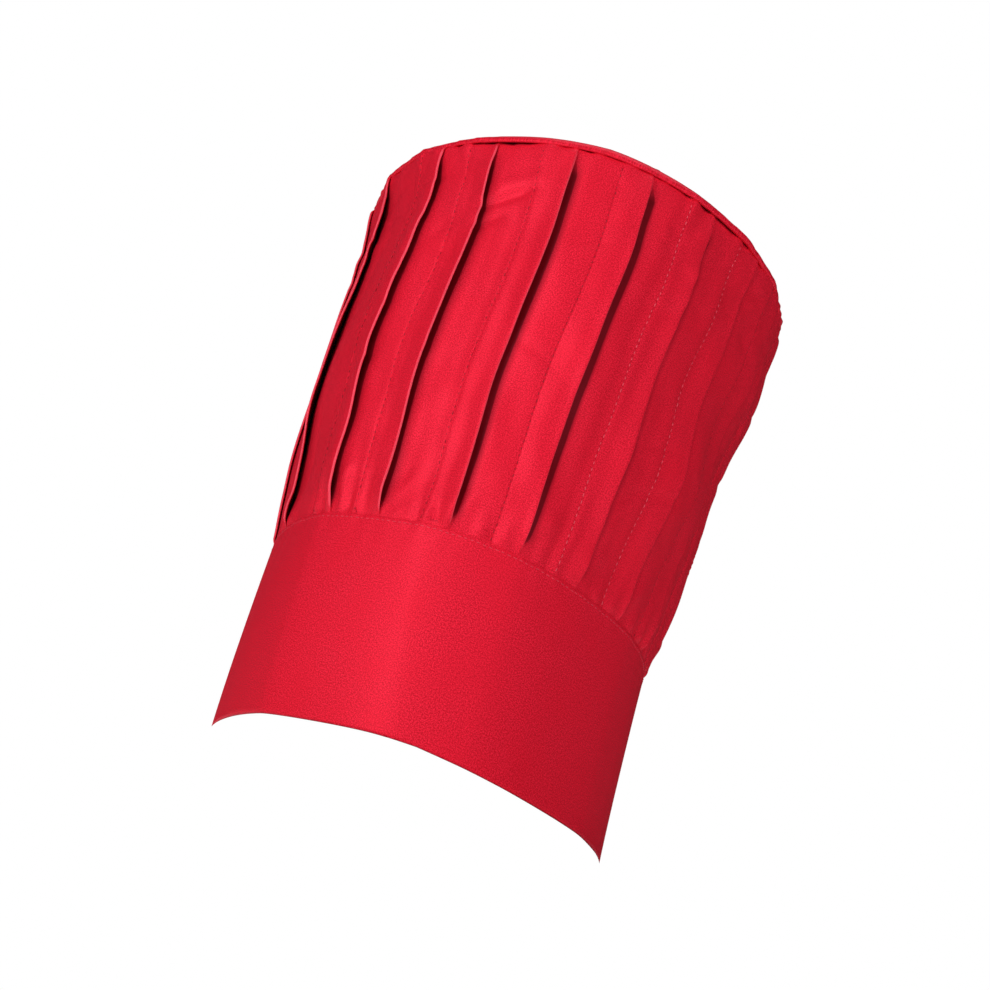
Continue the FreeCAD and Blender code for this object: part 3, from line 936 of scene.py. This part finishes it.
def pile_piece(name, surface, low, high, pitch, base, tip, hooked, body):
    """A field of tiny threads on a tape: crooked hooks, or round loops."""
    rng = np.random.default_rng(len(name))
    along_s = np.arange(low + 1.2 * MM, high - 1 * MM, pitch)
    s, z = np.meshgrid(along_s, np.arange(TAPE_LOW + 1.2 * MM, TAPE_HIGH - 1 * MM, pitch))
    s = s.ravel() + rng.uniform(-0.25, 0.25, s.size) * pitch
    z = z.ravel() + rng.uniform(-0.25, 0.25, z.size) * pitch
    turn = rng.uniform(-0.4, 0.4, s.size) + (0 if hooked else rng.integers(0, 2, s.size) * 1.2)
    reach = 0.42 * pitch
    rise = tip - base
    angles = np.linspace(0, math.pi * (1.25 if hooked else 1.0), 6)
    path = [(0.0, -0.2)] + [((1 - math.cos(a)) * 0.5, 0.45 + 0.55 * math.sin(a)) for a in angles]
    if not hooked:
        path.append((1.0, -0.2))
    rings = []
    for along, up in path:
        centre_s = s + (along - 0.5) * reach * np.cos(turn)
        centre_z = z + (along - 0.5) * reach * np.sin(turn)
        centre = surface(centre_s, centre_z, base + rise * up)
        for k in range(3):
            angle = 2 * math.pi * k / 3
            side = outward(s) * (0.09 * MM * math.cos(angle))
            side = side + np.array([0, 0, 1]) * (0.09 * MM * math.sin(angle))
            rings.append(centre + side)
    points, faces = many(rings, grid_faces(len(path), 3, True))
    obj = new_object(name, points, faces, cloth=np.repeat(points[:, :1], len(rings), axis=1))
    obj.data.materials.append(tape_cloth)
    attach(obj, body)


# ---- Band's stiffener, size label and loop tape ----

def make_band_interlining():
    grid = oblong(BACK + 3 * MM, BACK + LENGTH - 3 * MM, 2 * MM, BAND_TOP - 2 * MM, 60)
    inner, outer = -1.38 * MM, -0.82 * MM
    slab("band_interlining_felt", "band_interlining", on_band, grid, inner, outer, "hat", interlining)


def make_label():
    """The blank label inside the band, its edges curling off a little."""
    start, end, low, high = s_of_polar(52), s_of_polar(69), 34 * MM, 54 * MM
    grid = oblong(start, end, low, high, 20)
    curl = 0.25 * MM * np.exp(-grid[2] / (1.5 * MM))
    inner, outer = -2.72 * MM - curl, -2.25 * MM - curl
    slab("size_label_cloth", "size_label", on_band, grid, inner, outer, "hat", label_cloth)
    inset = 1.2 * MM
    path = frame_path(start + inset, end - inset, low + inset, high - inset)
    seam = {"inside": True, "thread": pale_thread, "pitch": 2.2 * MM, "length": 1.6 * MM}
    sew("label_stitches", "label_stitching", on_band, path, -2.75 * MM, **seam)


def make_loop_tape():
    low, high = s_of_polar(94), s_of_polar(120)
    grid = oblong(low, high, TAPE_LOW, TAPE_HIGH, 26)
    slab("loop_tape_base", "loop_tape", on_band, grid, 0.04 * MM, 0.55 * MM, "hat", tape_cloth)
    pile_piece("loop_tape_loops", on_band, low, high, 1.35 * MM, 0.5 * MM, 1.05 * MM, False, "hat")
    path = tape_seam(94.8, 119.2)
    sew("loop_tape_stitches", "loop_tape_stitching", on_band, path, -2.3 * MM, inside=True)


# ---- Closure tab ----

TAB_ROOT, TAB_END = s_of_polar(85), s_of_polar(116)
TAB_LOW, TAB_HIGH = 1 * MM, 86 * MM
TAB_INNER, TAB_OUTER = 2.2 * MM, 4.4 * MM
TAB_BEND = 9 * MM  # a length along the cloth from the root; nothing bends over it


def on_tab(s, z, out):
    """A place on the closed tab: like the band's face, dipping to it at the sewn root."""
    from_root = smooth((s - TAB_ROOT) / (5 * MM))
    sunk = (TAB_INNER - 0.1 * MM) * (1 - from_root) * np.clip(out / TAB_INNER, 0, 1)
    wave = 0.18 * MM * ripple(s, z, 31, 60 * MM, 70 * MM) * from_root
    return on_band(s, z, out - sunk + wave)


def bend_with_tab(obj):
    """Bakes the piece's placing into its mesh."""
    start = Vector(on_band(np.array(TAB_ROOT), np.array(43.5 * MM), np.array(0.0)))
    end = Vector(on_band(np.array(TAB_ROOT + TAB_BEND), np.array(43.5 * MM), np.array(0.0)))
    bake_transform(obj)


def seam_groove(edge):
    """The sewn line sinks into the padded tab."""
    return -0.22 * MM * bell(edge, 2.2 * MM, 0.7 * MM)


def make_tab():
    """The padded tab, rounded off at all its edges but the root."""
    s, z, edge = oblong(TAB_ROOT, TAB_END, TAB_LOW, TAB_HIGH, 44, corner=9 * MM)
    edge = np.where(edge == s - TAB_ROOT, np.minimum(z - TAB_LOW, TAB_HIGH - z), edge)
    outer = TAB_OUTER + seam_groove(edge)
    tab = slab("closure_tab_cloth", "closure_tab", on_tab, (s, z, edge), TAB_INNER, outer, None, red_cloth)
    bend_with_tab(tab)


def rounded_frame(s_low, s_high, z_low, z_high, corner, steps=6):
    """An open path along three sides of an oblong, rounded at its s_high corners."""
    path = [(s_low, z_low)]
    for centre_z, first in ((z_low + corner, -1), (z_high - corner, 0)):
        for k in range(steps + 1):
            angle = math.pi / 2 * (k / steps + first)
            path.append((s_high - corner + corner * math.cos(angle), centre_z + corner * math.sin(angle)))
    return path + [(s_low, z_high)]


def make_tab_stitching():
    inset = 2.2 * MM
    path = rounded_frame(TAB_ROOT + 1.5 * MM, TAB_END - inset, TAB_LOW + inset, TAB_HIGH - inset, 7 * MM)
    out = TAB_OUTER - 0.12 * MM
    bend_with_tab(sew("tab_edge_stitches", "tab_edge_stitching", on_tab, path, out, None, thread=seam_thread))
    path = tape_seam(101.8, 113.2)
    out = TAB_OUTER + 0.02 * MM
    sew("hook_tape_stitches", "hook_tape_stitching", on_tab, path, out, "tab", thread=seam_thread)


def make_tab_lining():
    grid = oblong(s_of_polar(88.5), s_of_polar(115.2), 3 * MM, 84 * MM, 20, corner=8.5 * MM)
    inner, outer = 2.98 * MM, 3.55 * MM
    felt = slab("tab_interlining_felt", "tab_interlining", on_tab, grid, inner, outer, None, interlining)
    bend_with_tab(felt)


def make_hook_tape():
    low, high = s_of_polar(101), s_of_polar(114)
    grid = oblong(low, high, TAPE_LOW, TAPE_HIGH, 20)
    slab("hook_tape_base", "hook_tape", on_tab, grid, 1.62 * MM, 2.15 * MM, "tab", tape_cloth)
    pile_piece("hook_tape_hooks", on_tab, low, high, 1.2 * MM, 1.66 * MM, 1.18 * MM, True, "tab")


# ---- Back slit and top seam ----

SLIT_EDGE = SLIT_WIDTH / 2
BINDING_WIDTH = 3.6 * MM
BINDING_SEAM = 2.6 * MM  # from the slit's edge to the binding's stitches
SLIT_TURN = SLIT_TOP - SLIT_EDGE  # height at which the binding turns round the slit's top


def slit_ground(s, z):
    """How far the wall's cloth puffs out beside the slit, over its plain surface."""
    index = TUCKS // 2 - 1
    ground = PITCH - TUCK_DEPTH
    share = (s - FIRST_STITCH - index * PITCH - TUCK_DEPTH) / ground
    puff = ground_puff(index) * np.sin(math.pi * np.clip(share, 0, 1))
    return puff * (0.03 + 0.97 * off_band(z))


def on_slit(s, z, out):
    return on_wall(s, z, out + slit_ground(s, z))


def slit_ribbon(width, along):
    """Places (s, z) a distance out from the slit's edge: up one side, round its top, down the other."""
    side = np.linspace(BAND_TOP + 0.5 * MM, SLIT_TURN, along)
    away = SLIT_EDGE + width
    turn = np.linspace(math.pi, 0, 17)[1:-1]
    s = np.concatenate([0 * side - away, away * np.cos(turn), 0 * side + away])
    z = np.concatenate([side, SLIT_TURN + away * np.sin(turn), side[::-1]])
    return BACK + s, z


def make_slit():
    """The folded tape round the slit, its stitches, and the thread bar across its top."""
    widths = np.array([0, 0.15, 0.4, 0.9, 1.5, 2.2, 2.8, 3.2, 3.45, 3.6]) * MM
    lines = [slit_ribbon(width, 40) for width in widths]
    s, z = (np.stack([line[k] for line in lines]) for k in range(2))
    edge = np.minimum(widths, BINDING_WIDTH - widths)[:, None] + 0 * s
    dip = -0.15 * MM * bell(widths, BINDING_SEAM, 0.5 * MM)[:, None]
    grid = (s, z, edge)
    slab("slit_binding_cloth", "slit_binding", on_slit, grid, 0.02 * MM, 0.72 * MM + dip, "hat", red_binding)
    path = list(zip(*slit_ribbon(BINDING_SEAM, 2)))
    seam = {"thread": seam_thread, "pitch": 2.4 * MM, "length": 1.8 * MM}
    sew("slit_stitches", "slit_stitching", on_slit, path, 0.66 * MM, **seam)
    tack_low, tack_high = SLIT_TOP + 0.45 * MM, SLIT_TOP + 1.65 * MM
    zigzag = [(BACK + (k * 0.4 - 3.0) * MM, tack_low if k % 2 else tack_high) for k in range(16)]
    tack = {"thread": seam_thread, "pitch": 1.2 * MM, "length": 1.15 * MM}
    sew("slit_bar_tack_thread", "slit_bar_tack", on_slit, zigzag, 0.85 * MM, **tack)


def make_top_seam():
    """The tape over the raw edges inside the top seam, and its stitches."""
    columns = 400
    low = SEAM_Z - GAP - 9 * MM
    high = low + 8 * MM
    z = edged(low, high, 4)[:, None]
    s = np.arange(columns)[None, :] * LENGTH / columns
    grid = (s + 0 * z, z + 0 * s, np.minimum(z - low, high - z) + 0 * s)
    inner, outer = -1.45 * MM, -0.8 * MM
    slab("top_seam_binding_cloth", "top_seam_binding", on_wall, grid, inner, outer, "hat", red_binding, True)
    seam_z = low + 4.2 * MM
    path = [(0, seam_z), (LENGTH - 1 * MM, seam_z)]
    sew("top_seam_stitches", "top_seam_stitching", on_wall, path, -1.5 * MM, inside=True)


# ---- Stage, light and camera ----

AIM = Vector((0, 0, 0.140))  # the camera is placed about this point
DISTANCE = 0.8436
AZIMUTH, ELEVATION = 1.66, -20.97  # degrees
ROLL = math.radians(19.01)
LOOK_AT = Vector((-0.0015, -0.0025, 0.1464))
LENS = 67.2


def towards(azimuth, elevation):
    """The direction from the hat to a camera or light, from angles in degrees; azimuth 0 is the front."""
    turn, rise = math.radians(azimuth), math.radians(elevation)
    return Vector((math.sin(turn) * math.cos(rise), -math.cos(turn) * math.cos(rise), math.sin(rise)))


def make_camera():
    """A level camera at the viewing angle, then rolled so the hat leans right."""
    place = AIM + towards(AZIMUTH, ELEVATION) * DISTANCE
    back = (place - LOOK_AT).normalized()
    right = Vector((0, 0, 1)).cross(back).normalized()
    up = back.cross(right)
    tilted_right = math.cos(ROLL) * right + math.sin(ROLL) * up
    tilted_up = -math.sin(ROLL) * right + math.cos(ROLL) * up
    data = bpy.data.cameras.new("camera")
    data.lens = LENS
    data.clip_start, data.clip_end = 0.01, 100
    camera = bpy.data.objects.new("camera", data)
    turned = Matrix((tilted_right, tilted_up, back)).transposed().to_4x4()
    camera.matrix_world = Matrix.Translation(place) @ turned
    bpy.context.scene.collection.objects.link(camera)
    bpy.context.scene.camera = camera


def area_light(name, azimuth, elevation, distance, size, power, shines=True):
    """A soft square light aimed at the hat. shines: it makes highlights."""
    data = bpy.data.lights.new(name, "AREA")
    data.size = size
    data.energy = power
    light = bpy.data.objects.new(name, data)
    out = towards(azimuth, elevation)
    light.location = AIM + out * distance
    light.rotation_mode = "QUATERNION"
    light.rotation_quaternion = out.to_track_quat("Z", "Y")
    light.visible_glossy = shines
    light.visible_camera = False
    bpy.context.scene.collection.objects.link(light)


def make_lights():
    area_light("key", -56, 20, 1.5, 0.4, 5.6, shines=False)
    area_light("front", 24, 8, 1.8, 0.8, 13.0, shines=False)
    area_light("satin", -36, 8, 1.8, 0.7, 8.5)
    area_light("back", 195, 35, 1.8, 1.2, 16.0, shines=False)
    area_light("above", 0, 85, 1.8, 1.2, 6.0)


def make_world():
    """White to the camera; a softer white as light, and hardly any of it in highlights."""
    world = bpy.data.worlds.new("world")
    bpy.context.scene.world = world
    world.use_nodes = True
    tree = world.node_tree
    seen = tree.nodes.new("ShaderNodeLightPath")
    as_light = tree.nodes.new("ShaderNodeMapRange")
    as_light.inputs["To Min"].default_value = 0.17
    as_light.inputs["To Max"].default_value = 0.02
    tree.links.new(seen.outputs["Is Glossy Ray"], as_light.inputs["Value"])
    strength = tree.nodes.new("ShaderNodeMapRange")
    tree.links.new(as_light.outputs[0], strength.inputs["To Min"])
    tree.links.new(seen.outputs["Is Camera Ray"], strength.inputs["Value"])
    background = tree.nodes["Background"]
    background.inputs["Color"].default_value = (1, 1, 1, 1)
    tree.links.new(strength.outputs[0], background.inputs["Strength"])


def floor_material():
    """Pale matt floor, glowing a little far away so it stays pale.

    Seen from below it is clear, except under the hat's mouth, where it is white.
    """
    nodes = Nodes("floor")
    place = nodes.add("ShaderNodeTexCoord").outputs["Object"]
    tone = nodes.mix(nodes.noise(place, 6.0), (0.86, 0.86, 0.86, 1), (0.9, 0.9, 0.9, 1))
    away = nodes.add("ShaderNodeVectorMath", {0: place}, operation="LENGTH").outputs["Value"]
    seen = nodes.add("ShaderNodeLightPath").outputs["Is Camera Ray"]
    glow = nodes.math("MULTIPLY", seen, nodes.ramp(away, 0.3, 3.0, 0.0, 0.75))
    matt = nodes.add(
        "ShaderNodeBsdfPrincipled",
        {"Base Color": tone, "Roughness": 0.85, "Emission Color": (1, 1, 1, 1), "Emission Strength": glow},
    )
    clear = nodes.add("ShaderNodeBsdfTransparent")
    white = nodes.add("ShaderNodeEmission", {"Color": (1, 1, 1, 1), "Strength": 1.0})
    mark = nodes.add("ShaderNodeAttribute", attribute_name="mouth").outputs["Fac"]
    in_mouth = nodes.math("GREATER_THAN", mark, 0.5)
    below = nodes.add("ShaderNodeMixShader", {0: in_mouth, 1: clear.outputs[0], 2: white.outputs[0]})
    incoming = nodes.add("ShaderNodeNewGeometry").outputs["Incoming"]
    eye_height = nodes.add("ShaderNodeSeparateXYZ", {0: incoming}).outputs[2]
    from_below = nodes.math("MULTIPLY", nodes.math("LESS_THAN", eye_height, 0.0), seen)
    mixed = nodes.add("ShaderNodeMixShader", {0: from_below, 1: matt.outputs[0], 2: below.outputs[0]})
    return nodes.finish(mixed.outputs[0])


def make_floor():
    """A wide floor the hat stands on. What closes the hat's mouth follows the rim, and is marked."""
    level, reach, count = -2.5 * MM, 12.0, 360
    s = np.arange(count) * LENGTH / count
    sideways = smooth(-np.cos(phi_of(s)) / 0.45 + 1)
    rim = on_band(s, 0 * s, (1.2 * sideways - 0.9) * MM)
    rim[:, :2] *= 1 + 0.02 * smooth((rim[:, 1:2] - 5 * MM) / (30 * MM))
    rim[:, 2] -= 0.08 * MM
    under = rim * np.array([0.93, 0.93, 0]) + np.array([0, 0, level])
    far = rim / np.linalg.norm(rim[:, :2], axis=1, keepdims=True) * reach
    far[:, 2] = level
    centre = np.array([[0, 0, level]])
    points = np.concatenate([rim, under, under, far, centre])
    rings = [f[::-1] for f in grid_faces(4, count, True)]
    faces = rings[:count] + rings[2 * count :]
    faces += [(count + k, count + (k + 1) % count, 4 * count) for k in range(count)]
    floor = new_object("floor", points, faces, False)
    mouth = floor.data.attributes.new("mouth", "FLOAT", "POINT")
    mouth.data.foreach_set("value", [1.0] * (2 * count) + [0.0] * (2 * count) + [1.0])
    floor.data.materials.append(floor_material())


make_band()
make_wall()
make_top()
make_tuck_stitching()
make_band_stitching()
make_band_interlining()
make_label()
make_loop_tape()
make_tab()
make_tab_stitching()
make_tab_lining()
make_hook_tape()
make_slit()
make_top_seam()
make_camera()
make_lights()
make_world()
make_floor()
bpy.context.scene.view_settings.view_transform = "Standard"
bpy.context.view_layer.update()
